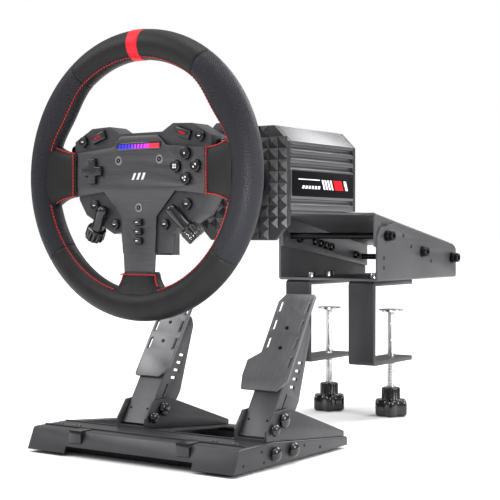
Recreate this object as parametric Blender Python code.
"""Sim-racing set: steering wheel, direct-drive base, desk bracket with two C clamps, two-pedal unit.

Metres. X is the driver's right, +Y points away from the driver, +Z is up.
Origin: middle of the footprint, on the floor.
Distances from the hub axis are called across (X), back (Y, from the wheel plane) and up (Z)."""

import math

import bmesh
import bpy
from mathutils import Matrix, Vector

GAP = 0.0003  # clearance between touching pieces
WHEEL_Y = -0.29094  # wheel plane, placed so that the footprint is centred
HUB_Z = 0.297  # hub axis above the floor

# rim
RIM_RADIUS = 0.134  # centre line of the grip
GRIP_RADIAL = 0.016
GRIP_AXIAL = 0.0155
CORE_RADIUS = 0.0065  # steel ring inside the grip
CORE_GAP = 0.0008  # between the ring and the foam round it
SEAM_UPPER = 36  # degrees from 12 o'clock
SEAM_LOWER = 127
THUMB_ANGLE = 57  # where the thumb rests bulge inwards
THUMB_BULGE = 0.006

# hub plate and switch housing
PLATE_THICK = 0.003
HOUSING_DEEP = 0.024
HOUSING_WALL = 0.0025
HOUSING_FRONT = 0.006
COVER_THICK = 0.003
BUTTON_PROUD = 0.0035
BUTTON_DEEP = 0.0025

# base
BASE_HALF = 0.062
BASE_TOP = 0.063  # above the hub axis
BASE_CHAMFER = 0.018
BASE_BOTTOM = -0.033
BEZEL_BOTTOM = -0.067
BASE_FRONT = 0.190  # behind the wheel plane
BASE_BACK = 0.330
BEZEL_THICK = 0.008
FIN_DEPTH = 0.004

# bracket, heights from the hub axis
SHEET = 0.003
SHELF_HALF = 0.056
SHELF_FRONT = 0.200
BRACKET_FRONT = 0.372
BRACKET_BACK = 0.597
BRACKET_HALF = 0.070
UPPER_FRONT = -0.0333  # top face of the shelf and the wedge's front edge
UPPER_BACK = -0.073
LOWER_BOTTOM = -0.119
LOCK_BOLT = (0.394, -0.062)
PIVOT_BOLT = (0.583, -0.092)
BOLT_RADIUS = 0.004

# clamps
CLAMP_ACROSS = 0.047
CLAMP_HALF = 0.018
CLAMP_FRONT = 0.376
CLAMP_BACK = 0.481
CLAMP_SCREW_BACK = 0.456
CLAMP_BAR = 0.006
CLAMP_HEIGHT = 0.106
PAD_TOP = -0.158
SCREW_RADIUS = 0.005
KNOB_RADIUS = 0.023

# pedals, heights from the floor
TRAY_ACROSS = -0.012  # centre
TRAY_HALF = 0.138
TRAY_FRONT = -0.012
TRAY_BACK = 0.206
TRAY_LOW = 0.003
TRAY_TOP = 0.027
TRAY_REAR_TOP = 0.013
TRAY_SLANT = 0.010  # how far the front face leans back
TRAY_WALL = 0.0025
DECK_BEND = 0.050  # behind this line the deck slopes down
WINDOWS_ACROSS = ((-0.136, -0.082), (-0.020, 0.074))
WINDOWS_BACK = (0.054, 0.176)
FOOT_STRIP_WIDE = 0.022
FOOT_STRIP_INSET = 0.030
FRONT_STRIP = 0.012
REAR_STRIP = 0.180
PIVOT_BACK = 0.076
PIVOT_UP = 0.046
PIN_RADIUS = 0.004
PIN_HEAD = (0.0065, 0.003)  # radius, height
BRACKET_NEAR = 0.046
BRACKET_FAR = 0.200
ARM_HALF = 0.017
ARM_SHEET = 0.0025
ARM_LEAN = 33  # degrees back from upright
ARM_FACE = -0.014  # the arm's front face, ahead of the line through the pivot
ARM_REACH = 0.112
TREAD_HALF = 0.022
TREAD_THICK = 0.003
SLOT_PITCH = 0.022
SLOT_LONG = 0.0155
SLOT_WIDE = 0.0034
PEDALS = {
    "brake": dict(middle=-0.0515, low=0.030, high=0.131, flare=0.0),
    "throttle": dict(middle=0.105, low=0.024, high=0.140, flare=0.014),
}

MATERIALS = {
    "leather": ((0.012, 0.012, 0.014), 0.55, 0.0),
    "plate": ((0.07, 0.07, 0.075), 0.38, 0.8),
    "plastic": ((0.03, 0.03, 0.033), 0.5, 0.0),
    "button": ((0.02, 0.02, 0.022), 0.35, 0.0),
    "board": ((0.01, 0.09, 0.03), 0.6, 0.0),
    "display": ((0.05, 0.02, 0.2), 0.2, 0.0),
    "housing": ((0.09, 0.09, 0.095), 0.35, 0.9),
    "bezel": ((0.02, 0.02, 0.022), 0.45, 0.0),
    "sheet_steel": ((0.05, 0.05, 0.053), 0.45, 0.6),
    "bright_steel": ((0.6, 0.6, 0.6), 0.2, 1.0),
    "copper": ((0.5, 0.2, 0.08), 0.4, 1.0),
    "rubber": ((0.01, 0.01, 0.01), 0.8, 0.0),
}


# ---------------------------------------------------------------- tools

def clear_scene():
    for old in list(bpy.data.objects):
        bpy.data.objects.remove(old, do_unlink=True)


def paint(obj, kind):
    colour, roughness, metallic = MATERIALS[kind]
    material = bpy.data.materials.new(obj.name + "_" + kind)
    material.use_nodes = True
    shader = material.node_tree.nodes["Principled BSDF"]
    shader.inputs["Base Color"].default_value = (*colour, 1)
    shader.inputs["Roughness"].default_value = roughness
    shader.inputs["Metallic"].default_value = metallic
    obj.data.materials.append(material)


def new_object(name, bm, kind, origin=(0, 0, 0)):
    """Makes an object of world-space geometry, with its origin where its joint axis is."""
    bmesh.ops.recalc_face_normals(bm, faces=bm.faces)
    bmesh.ops.translate(bm, vec=-Vector(origin), verts=bm.verts)
    mesh = bpy.data.meshes.new(name)
    bm.to_mesh(mesh)
    bm.free()
    mesh.shade_smooth()
    mesh.set_sharp_from_angle(angle=math.radians(35))
    obj = bpy.data.objects.new(name, mesh)
    obj.location = origin
    bpy.context.scene.collection.objects.link(obj)
    if kind:
        paint(obj, kind)
    return obj


def at(across, back, up):
    """A world point from its distances to the hub axis."""
    return Vector((across, WHEEL_Y + back, HUB_Z + up))


def on_floor(across, back, high):
    return Vector((across, WHEEL_Y + back, high))


def loft(bm, rings, closed=False):
    """Skins a list of equal rings of points, with end caps unless the rings close on themselves."""
    rows = [[bm.verts.new(point) for point in ring] for ring in rings]
    count = len(rows[0])
    pairs = list(zip(rows, rows[1:])) + ([(rows[-1], rows[0])] if closed else [])
    for first, second in pairs:
        for i in range(count):
            j = (i + 1) % count
            bm.faces.new((first[i], first[j], second[j], second[i]))
    if not closed:
        bm.faces.new(rows[0])
        bm.faces.new(rows[-1])
    return bm


def extruded(name, outline, along, low, high, kind, place=at, origin=(0, 0, 0)):
    """Extrudes an outline along x (outline in back, up), y (across, up) or z (across, back)."""
    order = {
        "x": lambda a, b, depth: place(depth, a, b),
        "y": lambda a, b, depth: place(a, depth, b),
        "z": lambda a, b, depth: place(a, b, depth),
    }[along]
    rings = [[order(a, b, depth) for a, b in outline] for depth in (low, high)]
    return new_object(name, loft(bmesh.new(), rings), kind, origin)


def box(name, low, high, kind, place=at):
    outline = ((low[0], low[1]), (high[0], low[1]), (high[0], high[1]), (low[0], high[1]))
    return extruded(name, outline, "z", low[2], high[2], kind, place)


def turned(name, profile, base, direction, kind, sides=24, origin=None):
    """Turns (radius, distance) points round the line through base, with a flat cap at each end."""
    turn = Vector((0, 0, 1)).rotation_difference(Vector(direction)).to_matrix()
    rings = []
    for radius, distance in profile:
        ring = []
        for i in range(sides):
            angle = 2 * math.pi * i / sides
            local = Vector((radius * math.cos(angle), radius * math.sin(angle), distance))
            ring.append(Vector(base) + turn @ local)
        rings.append(ring)
    return new_object(name, loft(bmesh.new(), rings), kind, base if origin is None else origin)


def boolean(obj, other, operation="DIFFERENCE"):
    """Applies a cut or a union, and removes the other shape."""
    modifier = obj.modifiers.new(operation.lower(), "BOOLEAN")
    modifier.operation = operation
    modifier.solver = "EXACT"
    modifier.object = other
    graph = bpy.context.evaluated_depsgraph_get()
    result = bpy.data.meshes.new_from_object(obj.evaluated_get(graph))
    obj.modifiers.clear()
    obj.data = result
    bpy.data.objects.remove(other, do_unlink=True)
    return obj


def mirrored(points):
    """Completes a right-hand outline, top to bottom, with its left half."""
    return list(points) + [(-a, b) for a, b in reversed(points) if a != 0]


def ring_hole(obj, base, direction, radius, length, sides=16):
    """Drills a round hole."""
    cutter = turned("cutter", ((radius, 0), (radius, length)), base, direction, None, sides)
    return boolean(obj, cutter)


# ---------------------------------------------------------------- wheel

def grip_ring(degrees, radial, axial, bulge):
    """One cross-section of the rim. Degrees run clockwise from 12 o'clock as the driver sees it."""
    angle = math.radians(degrees)
    out = Vector((math.sin(angle), 0, math.cos(angle)))
    sides = 14
    ring = []
    for i in range(sides):
        turn = 2 * math.pi * i / sides
        reach = radial * math.cos(turn)
        if math.cos(turn) < 0:
            reach += bulge * math.cos(turn)
        centre = at(0, 0, 0) + out * (RIM_RADIUS + reach)
        ring.append(centre + Vector((0, axial * math.sin(turn), 0)))
    return ring


def thumb_bulge(degrees):
    """Extra inward depth of the grip near the thumb rests."""
    off = min(abs(abs((degrees + 180) % 360 - 180) - THUMB_ANGLE) / 22, 1)
    return THUMB_BULGE * (0.5 + 0.5 * math.cos(math.pi * off))


def rim_section(name, start, end):
    steps = round((end - start) / 8)
    angles = [start + (end - start) * i / steps for i in range(steps + 1)]
    inner = CORE_RADIUS + CORE_GAP
    outside = [grip_ring(a, GRIP_RADIAL, GRIP_AXIAL, thumb_bulge(a)) for a in angles]
    inside = [grip_ring(a, inner, inner, 0) for a in reversed(angles)]
    return new_object(name, loft(bmesh.new(), outside + inside, closed=True), "leather")


def make_rim():
    split = math.degrees(GAP / 2 / RIM_RADIUS)
    spans = {
        "rim_grip_top": (-SEAM_UPPER, SEAM_UPPER),
        "rim_grip_right": (SEAM_UPPER, SEAM_LOWER),
        "rim_grip_bottom": (SEAM_LOWER, 360 - SEAM_LOWER),
        "rim_grip_left": (360 - SEAM_LOWER, 360 - SEAM_UPPER),
    }
    for name, (start, end) in spans.items():
        rim_section(name, start + split, end - split)
    circle = [grip_ring(a, CORE_RADIUS, CORE_RADIUS, 0) for a in range(0, 360, CORE_STEP)]
    new_object("rim_core", loft(bmesh.new(), circle, closed=True), "bright_steel")


CORE_STEP = 8  # degrees between the core ring's sections
SPOKE_REACH = (RIM_RADIUS - CORE_RADIUS) * math.cos(math.radians(CORE_STEP / 2)) - 2 * GAP
SPOKE_HALF = 0.012
SPOKE_LOW = -0.010  # lower edge of the side spokes
PLATE_OUTLINE = (
    (0.024, 0.041), (0.036, 0.030), (0.084, 0.026), (0.084, SPOKE_HALF),
    (SPOKE_REACH, SPOKE_HALF), (SPOKE_REACH, SPOKE_LOW), (0.084, SPOKE_LOW), (0.084, -0.020),
    (0.047, -0.016), (0.023, -0.042), (0.019, -0.103), (SPOKE_HALF, -0.106), (SPOKE_HALF, -SPOKE_REACH),
)
HOUSING_OUTLINE = (
    (0.028, 0.044), (0.042, 0.052), (0.066, 0.051), (0.090, 0.038), (0.090, 0.018),
    (0.084, -0.024), (0.074, -0.040), (0.036, -0.060), (0.026, -0.058), (0.024, -0.080),
)


def inset(outline, by):
    """Moves each point of a right-hand outline inwards, towards the housing's middle."""
    return [(a - by * (1 if a > by else 0), b - math.copysign(by, b)) for a, b in outline]


def cut_spoke_pockets():
    """Slots in three grips, through which the spokes reach the core ring."""
    deep = RIM_RADIUS - CORE_RADIUS + 0.003
    near = RIM_RADIUS - GRIP_RADIAL - 0.012
    thick = PLATE_THICK + GAP
    for name, side in (("rim_grip_right", 1), ("rim_grip_left", -1)):
        low = (min(side * near, side * deep), -thick, SPOKE_LOW - GAP)
        high = (max(side * near, side * deep), GAP, SPOKE_HALF + GAP)
        boolean(bpy.data.objects[name], box("cutter", low, high, None))
    low = (-SPOKE_HALF - GAP, -thick, -deep)
    high = (SPOKE_HALF + GAP, GAP, -near)
    boolean(bpy.data.objects["rim_grip_bottom"], box("cutter", low, high, None))


FACE = (0.061, 0.008)  # middle of the four round buttons
FACE_PITCH = 0.0125
ROUND_BUTTONS = {  # across, up, radius
    "button_face_top": (FACE[0], FACE[1] + FACE_PITCH, 0.0060),
    "button_face_left": (FACE[0] - FACE_PITCH, FACE[1], 0.0060),
    "button_face_right": (FACE[0] + FACE_PITCH, FACE[1], 0.0060),
    "button_face_bottom": (FACE[0], FACE[1] - FACE_PITCH, 0.0060),
    "button_upper_left_round": (-0.077, 0.0375, 0.0055),
    "button_upper_right_round": (0.077, 0.0375, 0.0055),
    "button_lower_left_outer": (-0.061, -0.0300, 0.0055),
    "button_lower_left_inner": (-0.033, -0.0500, 0.0050),
    "button_lower_right_outer": (0.061, -0.0300, 0.0055),
    "button_lower_right_inner": (0.033, -0.0500, 0.0050),
}
SQUARE_BUTTONS = {  # across, up, half width, half height, tilt in degrees
    "button_centre_top": (0, -0.048, 0.005, 0.003, 0),
    "button_centre_middle": (0, -0.0575, 0.005, 0.003, 0),
    "button_centre_bottom": (0, -0.067, 0.005, 0.003, 0),
    "button_upper_left_wide": (-0.0560, 0.0415, 0.0095, 0.0045, 18),
    "button_upper_right_wide": (0.0560, 0.0415, 0.0095, 0.0045, -18),
}
DPAD = (-0.062, 0.006, 0.013, 0.0045)  # across, up, arm length, arm half width
BUTTON_GAP = 0.0004  # round each button
POD_HOLE_DEEP = 0.0049
PLATE_HOLE_DEEP = 0.0035


def tilted_rectangle(across, up, half_wide, half_high, degrees, grow=0.0):
    turn = math.radians(degrees)
    corners = []
    for a, b in ((-1, -1), (1, -1), (1, 1), (-1, 1)):
        x = a * (half_wide + grow)
        z = b * (half_high + grow)
        corners.append((across + x * math.cos(turn) - z * math.sin(turn),
                        up + x * math.sin(turn) + z * math.cos(turn)))
    return corners


def cross_outline(across, up, arm, half, grow=0.0):
    long, short = arm + grow, half + grow
    signs = ((short, long), (-short, long), (-short, short), (-long, short), (-long, -short),
             (-short, -short), (-short, -long), (short, -long), (short, -short), (long, -short),
             (long, short), (short, short))
    return [(across + a, up + b) for a, b in signs]


def circle_outline(across, up, radius, sides=16):
    return [(across + radius * math.cos(2 * math.pi * i / sides),
             up + radius * math.sin(2 * math.pi * i / sides)) for i in range(sides)]


def button_outlines(grow):
    """Every button's outline, grown by some clearance."""
    found = {}
    for name, (across, up, radius) in ROUND_BUTTONS.items():
        found[name] = circle_outline(across, up, radius + grow)
    for name, spec in SQUARE_BUTTONS.items():
        found[name] = tilted_rectangle(*spec, grow)
    found["d_pad"] = cross_outline(*DPAD, grow)
    return found


def button_level(name):
    """The front of the face that a button stands in: the hub plate or a pod."""
    on_plate = ("button_face", "button_centre", "d_pad")
    return -PLATE_THICK if name.startswith(on_plate) else 0.0


def make_buttons():
    for name, outline in button_outlines(0).items():
        level = button_level(name)
        middle = [sum(p[i] for p in outline) / len(outline) for i in (0, 1)]
        back = BUTTON_DEEP if level == 0 else 0.001
        origin = at(middle[0], back if name == "d_pad" else level, middle[1])
        extruded(name, outline, "y", level - BUTTON_PROUD, back, "button", origin=origin)


DISPLAY = (0.029, 0.026, 0.034)  # half width, bottom, top


def cut_faces(plate, housing):
    """Openings for the buttons and the display in the hub plate and the switch housing."""
    for name, outline in button_outlines(BUTTON_GAP).items():
        deep = POD_HOLE_DEEP if button_level(name) == 0 else PLATE_HOLE_DEEP
        for target in (plate, housing):
            boolean(target, extruded("cutter", outline, "y", -0.010, deep, None))
    half, low, high = DISPLAY
    grown = (-half - GAP, -0.010, low - GAP), (half + GAP, 0.0042, high + GAP)
    for target in (plate, housing):
        boolean(target, box("cutter", *grown, None))
    box("led_display", (-half, -PLATE_THICK - 0.0005, low), (half, 0.0038, high), "display")


ENCODER_AXIS = Vector((0.60, 0.32, -0.73)).normalized()
ENCODER_SEAT = (0.0465, -0.006, -0.037)  # ahead of the pod's face
COLLAR_RADIUS = 0.0058
COLLAR_LONG = 0.0225
KNOB_PROFILE = ((0.0095, 0), (0.0105, 0.002), (0.0105, 0.0125), (0.0090, 0.0145))


def make_encoders(housing):
    """Two ribbed rotary knobs, each on a fixed elbow that is part of the housing."""
    for name, side in (("encoder_knob_left", -1), ("encoder_knob_right", 1)):
        axis = Vector((side * ENCODER_AXIS.x, ENCODER_AXIS.y, ENCODER_AXIS.z))
        across, back, up = ENCODER_SEAT
        seat = at(side * across, back, up)
        post = turned("post", ((COLLAR_RADIUS, 0), (COLLAR_RADIUS, 0.0125)),
                      at(side * across, 0.004, up), (0, -1, 0), None, 16)
        boolean(housing, post, "UNION")
        collar = turned("collar", ((COLLAR_RADIUS, 0), (COLLAR_RADIUS, COLLAR_LONG)), seat, axis, None, 16)
        boolean(housing, collar, "UNION")
        foot = seat + axis * (COLLAR_LONG + GAP)
        turned(name, KNOB_PROFILE, foot, axis, "button", 20)


BOARD_SHARE = (0.84, 0.80)  # of the housing's outline
BOARD_BACK = (0.0190, 0.0206)
BOSS_HALF = 0.024  # on the cover, behind the hub
BOSS_BACK = 0.041
LOBE = (0.020, 0.040, -0.082, -0.050)  # half width, back, bottom, top


def make_hub():
    plate = extruded("hub_plate", mirrored(PLATE_OUTLINE), "y", -PLATE_THICK, 0, "plate")
    housing = extruded("switch_housing", mirrored(HOUSING_OUTLINE), "y", GAP, HOUSING_DEEP, "plastic")
    hollow = mirrored(inset(HOUSING_OUTLINE, HOUSING_WALL * 1.6))
    boolean(housing, extruded("cutter", hollow, "y", HOUSING_FRONT, HOUSING_DEEP + 0.01, None))
    # the elbows are solid, so they are joined after the shell is hollowed
    make_encoders(housing)
    cut_faces(plate, housing)
    make_buttons()
    board = [(a * BOARD_SHARE[0], b * BOARD_SHARE[1]) for a, b in mirrored(HOUSING_OUTLINE)]
    extruded("switch_board", board, "y", *BOARD_BACK, "board")
    cover_back = HOUSING_DEEP + GAP + COVER_THICK
    cover = extruded("housing_cover", mirrored(HOUSING_OUTLINE), "y",
                     HOUSING_DEEP + GAP, cover_back, "plastic")
    join = cover_back - 0.001
    boss = (-BOSS_HALF, join, -BOSS_HALF), (BOSS_HALF, BOSS_BACK, BOSS_HALF)
    boolean(cover, box("boss", *boss, None), "UNION")
    half, back, bottom, top = LOBE
    boolean(cover, box("lobe", (-half, join, bottom), (half, back, top), None), "UNION")


PADDLE_PIVOT = (0.0285, 0.0375)  # across, back
PADDLE_BACK = (0.0360, 0.0390)
PADDLE_OUTLINE = ((0.0285, 0.013), (0.046, 0.030), (0.070, 0.053), (0.084, 0.053), (0.092, 0.036),
                  (0.088, 0.004), (0.070, -0.026), (0.050, -0.030), (0.0285, -0.013))
BARREL_RADIUS = 0.0036
BARREL_LONG = 0.030


def make_paddles():
    for name, side in (("shift_paddle_left", -1), ("shift_paddle_right", 1)):
        origin = at(side * PADDLE_PIVOT[0], PADDLE_PIVOT[1], 0)
        shape = [(side * a, b) for a, b in PADDLE_OUTLINE]
        paddle = extruded(name, shape, "y", *PADDLE_BACK, "plate", origin=origin)
        barrel = turned("barrel", ((BARREL_RADIUS, 0), (BARREL_RADIUS, BARREL_LONG)),
                        at(side * PADDLE_PIVOT[0], PADDLE_PIVOT[1], -BARREL_LONG / 2), (0, 0, 1), None, 12)
        boolean(paddle, barrel, "UNION")


RELEASE_PROFILE = ((0.027, 0), (0.030, 0.004), (0.030, 0.014), (0.026, 0.018), (0.026, 0.034))
RELEASE_BACK = BOSS_BACK + GAP
SHAFT_FRONT = 0.0756
NECK_RADIUS = 0.010  # where the shaft passes the housing's front wall
ROTOR_RADIUS = 0.0155
TAIL_RADIUS = 0.008
SHAFT_PROFILE = (  # radius, distance behind the wheel plane
    (0.024, SHAFT_FRONT), (0.024, 0.120), (0.020, 0.124), (0.020, BASE_FRONT - 0.012),
    (NECK_RADIUS, BASE_FRONT - 0.010), (NECK_RADIUS, BASE_FRONT + 0.022),
    (ROTOR_RADIUS, BASE_FRONT + 0.022), (ROTOR_RADIUS, BASE_FRONT + 0.110),
    (TAIL_RADIUS, BASE_FRONT + 0.110), (TAIL_RADIUS, BASE_BACK - 0.004),
)


def make_shaft():
    turned("quick_release", RELEASE_PROFILE, at(0, RELEASE_BACK, 0), (0, 1, 0), "bright_steel", 32)
    profile = [(radius, back - SHAFT_FRONT) for radius, back in SHAFT_PROFILE]
    turned("motor_rotor", profile, at(0, SHAFT_FRONT, 0), (0, 1, 0), "bright_steel", 24)


# ---------------------------------------------------------------- base

GROOVE_TOPS = (0.0414, 0.0312, 0.0203, -0.0200)
GROOVE_HIGH = 0.0065
GROOVE_FLOOR = (0.0008, 0.0030)  # below the groove's upper edge


def housing_side():
    """Right-hand outline of the finned housing, top to bottom. Each groove's lower wall slopes outwards."""
    points = [(BASE_HALF - BASE_CHAMFER, BASE_TOP), (BASE_HALF, BASE_TOP - BASE_CHAMFER)]
    for top in GROOVE_TOPS:
        points.append((BASE_HALF, top))
        for down in GROOVE_FLOOR:
            points.append((BASE_HALF - FIN_DEPTH, top - down))
        points.append((BASE_HALF, top - GROOVE_HIGH))
    points.append((BASE_HALF, BASE_BOTTOM))
    return points


def octagon():
    """Right-hand outline of the bezel, with its corners cut."""
    return ((BASE_HALF - BASE_CHAMFER, BASE_TOP), (BASE_HALF, BASE_TOP - BASE_CHAMFER),
            (BASE_HALF, BEZEL_BOTTOM + BASE_CHAMFER), (BASE_HALF - BASE_CHAMFER, BEZEL_BOTTOM))


STATOR_RADIUS = 0.0302
STATOR_LONG = 0.080
STATOR_BORE = 0.0160
MOTOR_BORE = 0.0305
FRONT_WALL = 0.018
NECK_BORE = 0.0104
BEZEL_BORE = 0.0235
PANEL = (-0.017, 0.012)  # bottom and top of the side panel


def make_base():
    housing = extruded("motor_housing", mirrored(housing_side()), "y", BASE_FRONT, BASE_BACK, "housing")
    ring_hole(housing, at(0, BASE_FRONT + FRONT_WALL, 0), (0, 1, 0), MOTOR_BORE, 0.2, 32)
    ring_hole(housing, at(0, BASE_FRONT - 0.01, 0), (0, 1, 0), NECK_BORE, 0.05, 24)
    stator = turned("motor_stator", ((STATOR_RADIUS, 0), (STATOR_RADIUS, STATOR_LONG)),
                    at(0, BASE_FRONT + 0.024, 0), (0, 1, 0), "copper", 32)
    ring_hole(stator, at(0, BASE_FRONT, 0), (0, 1, 0), STATOR_BORE, 0.15, 24)
    bezel = extruded("front_bezel", mirrored(octagon()), "y", BASE_FRONT - BEZEL_THICK,
                     BASE_FRONT - GAP, "bezel")
    ring_hole(bezel, at(0, BASE_FRONT - 0.02, 0), (0, 1, 0), BEZEL_BORE, 0.03, 32)
    back = ((BASE_HALF - BASE_CHAMFER, BASE_TOP), (BASE_HALF, BASE_TOP - BASE_CHAMFER),
            (BASE_HALF, BASE_BOTTOM))
    extruded("rear_cover", mirrored(back), "y", BASE_BACK + GAP, BASE_BACK + 0.006, "bezel")
    box("side_panel", (BASE_HALF + GAP, BASE_FRONT + 0.002, PANEL[0]),
        (BASE_HALF + 0.0015, BASE_BACK - 0.002, PANEL[1]), "display")


# ---------------------------------------------------------------- bracket and clamps

def upper_edge(back):
    """Height of the wedge's upper face at a distance behind the wheel plane."""
    share = (back - BRACKET_FRONT) / (BRACKET_BACK - BRACKET_FRONT)
    return UPPER_FRONT + share * (UPPER_BACK - UPPER_FRONT)


INNER_FLANGE = (0.042, 0.032)  # its height at the front and at the back
BOLT_HEAD = (0.007, 0.006)  # radius, height
CLAMP_HOLES = (0.035, 0.080)  # behind the clamp's front


def make_bracket():
    shelf = ((SHELF_FRONT, UPPER_FRONT), (BRACKET_FRONT, UPPER_FRONT), (BRACKET_BACK, UPPER_BACK),
             (BRACKET_BACK, UPPER_BACK - SHEET), (BRACKET_FRONT, UPPER_FRONT - SHEET),
             (SHELF_FRONT, UPPER_FRONT - SHEET))
    upper = extruded("upper_channel", shelf, "x", -SHELF_HALF, SHELF_HALF, "sheet_steel")
    wedge = shelf[1:5]
    boolean(upper, extruded("wedge", wedge, "x", -BRACKET_HALF, BRACKET_HALF, None), "UNION")
    flange = ((BRACKET_FRONT, UPPER_FRONT), (BRACKET_BACK, UPPER_BACK),
              (BRACKET_BACK, UPPER_BACK - INNER_FLANGE[1]), (BRACKET_FRONT, UPPER_FRONT - INNER_FLANGE[0]))
    for low in (-BRACKET_HALF, BRACKET_HALF - SHEET):
        boolean(upper, extruded("flange", flange, "x", low, low + SHEET, None), "UNION")
    outer = BRACKET_HALF + GAP
    lower = box("lower_channel", (-outer - SHEET, BRACKET_FRONT, LOWER_BOTTOM),
                (outer + SHEET, BRACKET_BACK, LOWER_BOTTOM + SHEET), "sheet_steel")
    shoulder = BRACKET_FRONT + 0.050
    side = ((BRACKET_FRONT, LOWER_BOTTOM), (BRACKET_FRONT, UPPER_FRONT - 0.030),
            (BRACKET_FRONT + 0.010, UPPER_FRONT - 0.018), (shoulder, upper_edge(shoulder) - 0.003),
            (BRACKET_BACK - 0.004, UPPER_BACK - 0.003), (BRACKET_BACK, UPPER_BACK - 0.008),
            (BRACKET_BACK, LOWER_BOTTOM))
    for low in (-outer - SHEET, outer):
        boolean(lower, extruded("flange", side, "x", low, low + SHEET, None), "UNION")
    far = outer + SHEET + GAP
    head, tall = BOLT_HEAD
    bolt = ((head, -tall), (head, 0), (BOLT_RADIUS, 0), (BOLT_RADIUS, 2 * far), (head, 2 * far),
            (head, 2 * far + tall))
    for name, (back, up) in (("lock_bolt", LOCK_BOLT), ("pivot_bolt", PIVOT_BOLT)):
        start = at(-far - 0.02, back, up)
        for target in (upper, lower):
            ring_hole(target, start, (1, 0, 0), BOLT_RADIUS + GAP, 2 * far + 0.04)
        turned(name, bolt, at(-far, back, up), (1, 0, 0), "sheet_steel", 16)
    for across in (-CLAMP_ACROSS, CLAMP_ACROSS):
        for back in CLAMP_HOLES:
            start = at(across, CLAMP_FRONT + back, LOWER_BOTTOM - 0.01)
            ring_hole(lower, start, (0, 0, 1), 0.0035, 0.03, 12)


def star(radius, depth, lobes=6, sides=36):
    """Outline of a knob with rounded lobes."""
    points = []
    for i in range(sides):
        angle = 2 * math.pi * i / sides
        reach = radius - depth * (0.5 - 0.5 * math.cos(lobes * angle))
        points.append((reach * math.cos(angle), reach * math.sin(angle)))
    return points


def make_clamps():
    top = LOWER_BOTTOM - GAP
    low = top - CLAMP_HEIGHT
    shape = ((CLAMP_BACK, top), (CLAMP_FRONT, top), (CLAMP_FRONT, low), (CLAMP_BACK, low),
             (CLAMP_BACK, low + CLAMP_BAR), (CLAMP_FRONT + CLAMP_BAR, low + CLAMP_BAR),
             (CLAMP_FRONT + CLAMP_BAR, top - CLAMP_BAR), (CLAMP_BACK, top - CLAMP_BAR))
    for side, across in (("left", -CLAMP_ACROSS), ("right", CLAMP_ACROSS)):
        frame = extruded("clamp_frame_" + side, shape, "x",
                         across - CLAMP_HALF, across + CLAMP_HALF, "sheet_steel")
        ring_hole(frame, at(across, CLAMP_SCREW_BACK, low - 0.01), (0, 0, 1), SCREW_RADIUS + GAP, 0.03)
        axis = at(across, CLAMP_SCREW_BACK, 0)
        knob = [(across + a, CLAMP_SCREW_BACK + b) for a, b in star(KNOB_RADIUS, 0.005)]
        screw = extruded("clamp_screw_" + side, knob, "z", 0, 0.021, "bright_steel", on_floor,
                         origin=(axis.x, axis.y, 0))
        rod_top = HUB_Z + PAD_TOP - 0.006
        rod = ((0.0125, 0.019), (0.0125, 0.037), (SCREW_RADIUS, 0.039), (SCREW_RADIUS, rod_top))
        boolean(screw, turned("rod", rod, (axis.x, axis.y, 0), (0, 0, 1), None, 20), "UNION")
        pad = ((0.008, rod_top + GAP), (0.016, rod_top + 0.003), (0.016, rod_top + 0.006))
        turned("clamp_pad_" + side, pad, (axis.x, axis.y, 0), (0, 0, 1), "bright_steel", 24)


# ---------------------------------------------------------------- pedals

def deck(back):
    """Height of the tray's upper face."""
    fall = (TRAY_TOP - TRAY_REAR_TOP) / (TRAY_BACK - DECK_BEND)
    return TRAY_TOP - fall * max(0, back - DECK_BEND)


def make_tray():
    """A folded pan with two windows through its deck, open below, on two rubber strips."""
    left, right = TRAY_ACROSS - TRAY_HALF, TRAY_ACROSS + TRAY_HALF
    wall = TRAY_WALL
    side = ((TRAY_FRONT, TRAY_LOW), (TRAY_FRONT + TRAY_SLANT, TRAY_TOP), (DECK_BEND, TRAY_TOP),
            (TRAY_BACK, TRAY_REAR_TOP), (TRAY_BACK, TRAY_LOW))
    tray = extruded("pedal_tray", side, "x", left, right, "sheet_steel", on_floor)
    below = TRAY_LOW - 0.01
    inner = ((TRAY_FRONT + wall * 1.1, below), (TRAY_FRONT + wall * 1.1, TRAY_LOW),
             (TRAY_FRONT + TRAY_SLANT + wall * 0.7, TRAY_TOP - wall), (DECK_BEND, TRAY_TOP - wall),
             (TRAY_BACK - wall, TRAY_REAR_TOP - wall), (TRAY_BACK - wall, below))
    boolean(tray, extruded("cutter", inner, "x", left + wall, right - wall, None, on_floor))
    notch = (TRAY_ACROSS - 0.085, TRAY_FRONT - 0.01, 0), (TRAY_ACROSS + 0.085, TRAY_FRONT + 0.02, 0.010)
    boolean(tray, box("cutter", *notch, None, on_floor))
    for low, high in WINDOWS_ACROSS:
        window = (low, WINDOWS_BACK[0], TRAY_LOW), (high, WINDOWS_BACK[1], TRAY_TOP + 0.01)
        boolean(tray, box("cutter", *window, None, on_floor))
    strips = (("front_foot_strip", FRONT_STRIP, TRAY_TOP), ("rear_foot_strip", REAR_STRIP, TRAY_REAR_TOP))
    for name, back, top in strips:
        box(name, (left + FOOT_STRIP_INSET, back, 0),
            (right - FOOT_STRIP_INSET, back + FOOT_STRIP_WIDE, top - wall - GAP), "rubber", on_floor)


def lean(point, degrees, origin=(0.0, 0.0)):
    """Turns (forward, along) coordinates about X so that along points up and back."""
    turn = math.radians(degrees)
    across, along = point
    return (origin[0] + along * math.sin(turn) + across * math.cos(turn),
            origin[1] + along * math.cos(turn) - across * math.sin(turn))


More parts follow.
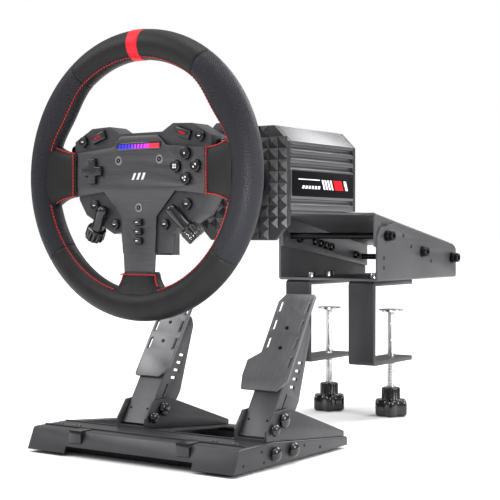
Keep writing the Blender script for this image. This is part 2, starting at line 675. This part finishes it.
def make_pedal(name, middle, low, high, flare):
    pivot = (PIVOT_BACK, PIVOT_UP)
    origin = on_floor(middle, *pivot)
    # bracket: a base strip that follows the deck, with two long triangular cheeks
    cheek_low = ARM_HALF + GAP * 2
    cheek_high = cheek_low + ARM_SHEET
    base = ((BRACKET_NEAR, deck(BRACKET_NEAR) + GAP), (DECK_BEND, deck(DECK_BEND) + GAP),
            (BRACKET_FAR, deck(BRACKET_FAR) + GAP))
    strip = list(base) + [(back, up + ARM_SHEET) for back, up in reversed(base)]
    bracket = extruded("pedal_bracket_" + name, strip, "x", middle - cheek_high, middle + cheek_high,
                       "sheet_steel", on_floor)
    cheek = (base[0], (BRACKET_NEAR, 0.038), (0.060, 0.056), (0.086, 0.057), (0.104, 0.052),
             (BRACKET_FAR, deck(BRACKET_FAR) + 0.006), base[2], base[1])
    for start in (middle - cheek_high, middle + cheek_low):
        boolean(bracket, extruded("cheek", cheek, "x", start, start + ARM_SHEET, None, on_floor), "UNION")
    arm = make_arm("pedal_arm_" + name, middle, pivot, origin)
    across = on_floor(middle - 0.05, *pivot)
    for target in (arm, bracket):
        ring_hole(target, across, (1, 0, 0), PIN_RADIUS + GAP, 0.1)
    far = cheek_high + GAP
    head, tall = PIN_HEAD
    pin = ((head, -tall), (head, 0), (PIN_RADIUS, 0), (PIN_RADIUS, 2 * far), (head, 2 * far),
           (head, 2 * far + tall))
    turned("pedal_pin_" + name, pin, on_floor(middle - far, *pivot), (1, 0, 0), "bright_steel", 16)
    make_spring("return_spring_" + name, middle, pivot)
    make_tread("pedal_tread_" + name, middle, pivot, low, high, flare, origin)


ARM_OUTLINE = ((ARM_FACE, -0.026), (ARM_FACE, ARM_REACH), (-0.004, ARM_REACH), (0.0026, 0.106),
               (0.0213, 0.032), (0.020, 0.018), (0.008, -0.006))
ARM_SLOT_START = 0.036
ARM_SLOT_STEP = 0.0095
ARM_SLIT = ((-0.0045, 0.008), (-0.0025, 0.008), (-0.0025, 0.028), (-0.0045, 0.028))


def make_arm(name, middle, pivot, origin):
    """A channel with its web towards the driver, with slots through both flanges."""
    shape = [lean(point, ARM_LEAN, pivot) for point in ARM_OUTLINE]
    arm = extruded(name, shape, "x", middle - ARM_HALF, middle + ARM_HALF, "sheet_steel", on_floor, origin)
    web = ARM_FACE + ARM_SHEET
    inside = ((web, -0.05), (web, 0.14), (0.05, 0.14), (0.05, -0.05))
    hollow = [lean(point, ARM_LEAN, pivot) for point in inside]
    boolean(arm, extruded("cutter", hollow, "x", middle - ARM_HALF + ARM_SHEET, middle + ARM_HALF - ARM_SHEET,
                          None, on_floor))
    cuts = [ARM_SLIT]
    for i in range(4):
        start = ARM_SLOT_START + ARM_SLOT_STEP * i
        cuts.append(((-0.002, start), (0.006, start + 0.003), (0.006, start + 0.006),
                     (-0.002, start + 0.003)))
    for cut in cuts:
        slot = [lean(point, ARM_LEAN, pivot) for point in cut]
        boolean(arm, extruded("cutter", slot, "x", middle - 0.05, middle + 0.05, None, on_floor))
    return arm


def make_spring(name, middle, pivot):
    """A torsion spring's coil, round the pin and inside the arm."""
    turns, steps, wire, coil, width = 4, 12, 0.0013, 0.0075, 0.018
    rings = []
    for i in range(turns * steps + 1):
        angle = 2 * math.pi * i / steps
        out = Vector((0, math.cos(angle), math.sin(angle)))
        centre = on_floor(middle - width / 2 + width * i / (turns * steps), *pivot) + out * coil
        ring = []
        for k in range(6):
            turn = math.pi * k / 3
            ring.append(centre + out * wire * math.cos(turn) + Vector((wire * math.sin(turn), 0, 0)))
        rings.append(ring)
    new_object(name, loft(bmesh.new(), rings), "bright_steel")


def make_tread(name, middle, pivot, low, high, flare, origin):
    """The foot plate, flat on the arm's web: low and high are measured along the arm from the pivot."""
    base = (Matrix.Translation(on_floor(middle, *lean((ARM_FACE - GAP, 0), ARM_LEAN, pivot)))
            @ Matrix.Rotation(-math.radians(ARM_LEAN), 4, "X"))

    def plane(outline, near, far, label, kind):
        rings = [[base @ Vector((a, depth, b)) for a, b in outline] for depth in (near, far)]
        return new_object(label, loft(bmesh.new(), rings), kind, origin)

    half = TREAD_HALF
    outline = [(half, high - 0.002), (half - 0.002, high), (-half + 0.007, high), (-half, high - 0.010),
               (-half, low + 0.044), (-half - flare, low + 0.034), (-half - flare, low + 0.013 + flare * 0.2),
               (-half - flare + 0.004, low), (half - 0.010, low), (half, low + 0.012)]
    if not flare:
        outline[4:8] = [(-half, low + 0.002), (-half + 0.002, low)]
    tread = plane(outline, -TREAD_THICK, 0, name, "sheet_steel")
    for row in range(int((high - low - 0.014) / SLOT_PITCH)):
        top = high - 0.008 - SLOT_PITCH * row
        sides = [half - 0.0065]
        if not flare or top - SLOT_LONG > low + 0.046:
            sides.append(-half + 0.0031)
        for across in sides:
            slot = ((across, top - 0.002), (across + SLOT_WIDE, top),
                    (across + SLOT_WIDE, top - SLOT_LONG + 0.002), (across, top - SLOT_LONG))
            boolean(tread, plane(slot, -0.01, 0.01, "cutter", None))


def main():
    clear_scene()
    make_rim()
    make_hub()
    cut_spoke_pockets()
    make_paddles()
    make_shaft()
    make_base()
    make_bracket()
    make_clamps()
    make_tray()
    for name, spec in PEDALS.items():
        make_pedal(name, **spec)


main()
